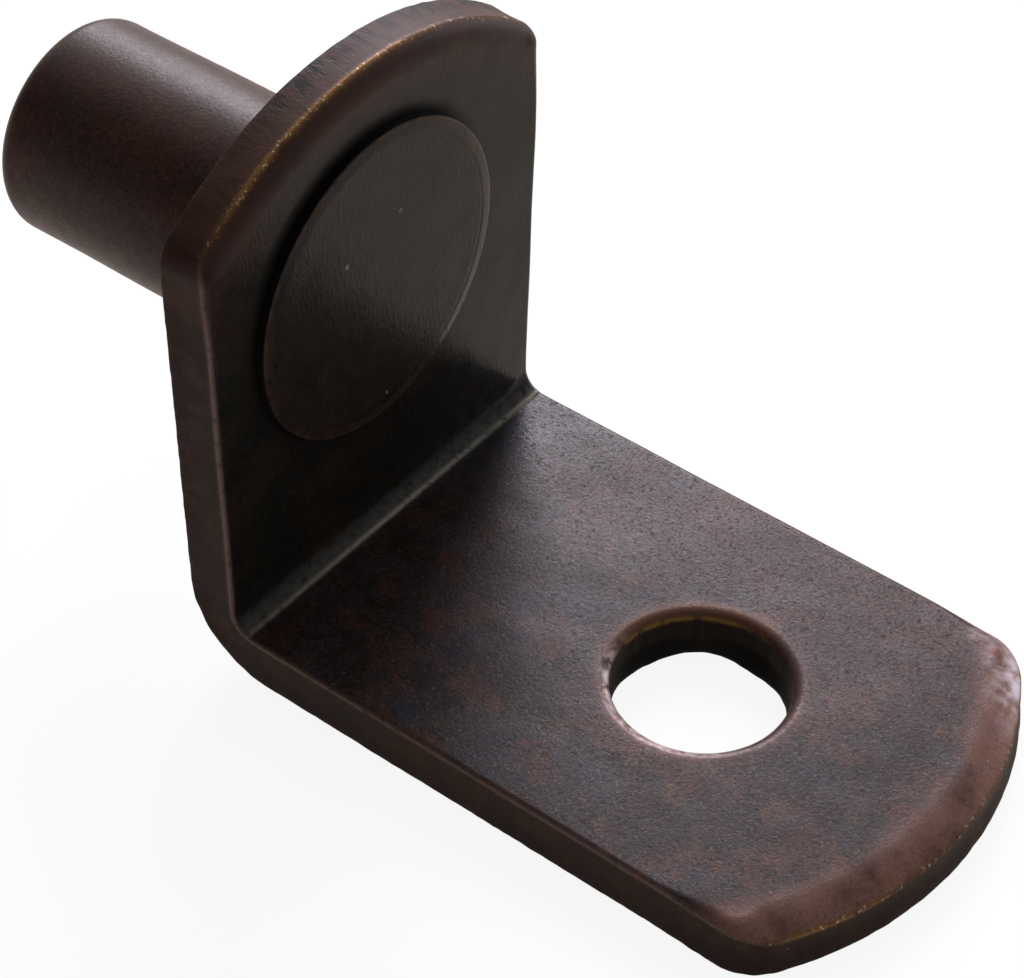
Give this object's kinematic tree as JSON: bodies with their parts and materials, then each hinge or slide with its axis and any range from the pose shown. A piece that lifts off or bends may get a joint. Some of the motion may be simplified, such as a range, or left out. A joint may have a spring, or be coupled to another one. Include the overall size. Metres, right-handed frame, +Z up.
{
  "type": "shelf support pin",
  "caption": "Small right-angle shelf support: a pressed-in peg goes into the cabinet side, the shelf lies on the leg and a screw through the leg's hole holds it.",
  "frame": {"origin": "where the axis of the peg leaves the back face of the upright", "axes": "-X along the peg into the cabinet side, +X along the leg under the shelf, +Z up"},
  "size_m": [0.03, 0.0134, 0.0166],
  "materials": {
    "bronzed_plate": "dark antique bronze plating, satin gloss, worn to brass lines at the stamped edges",
    "bronzed_peg": "dark antique bronze plating over turned steel, satin gloss"
  },
  "bodies": {
    "root": {"bracket": "bronzed_plate", "peg": "bronzed_peg"}
  },
  "joints": []
}
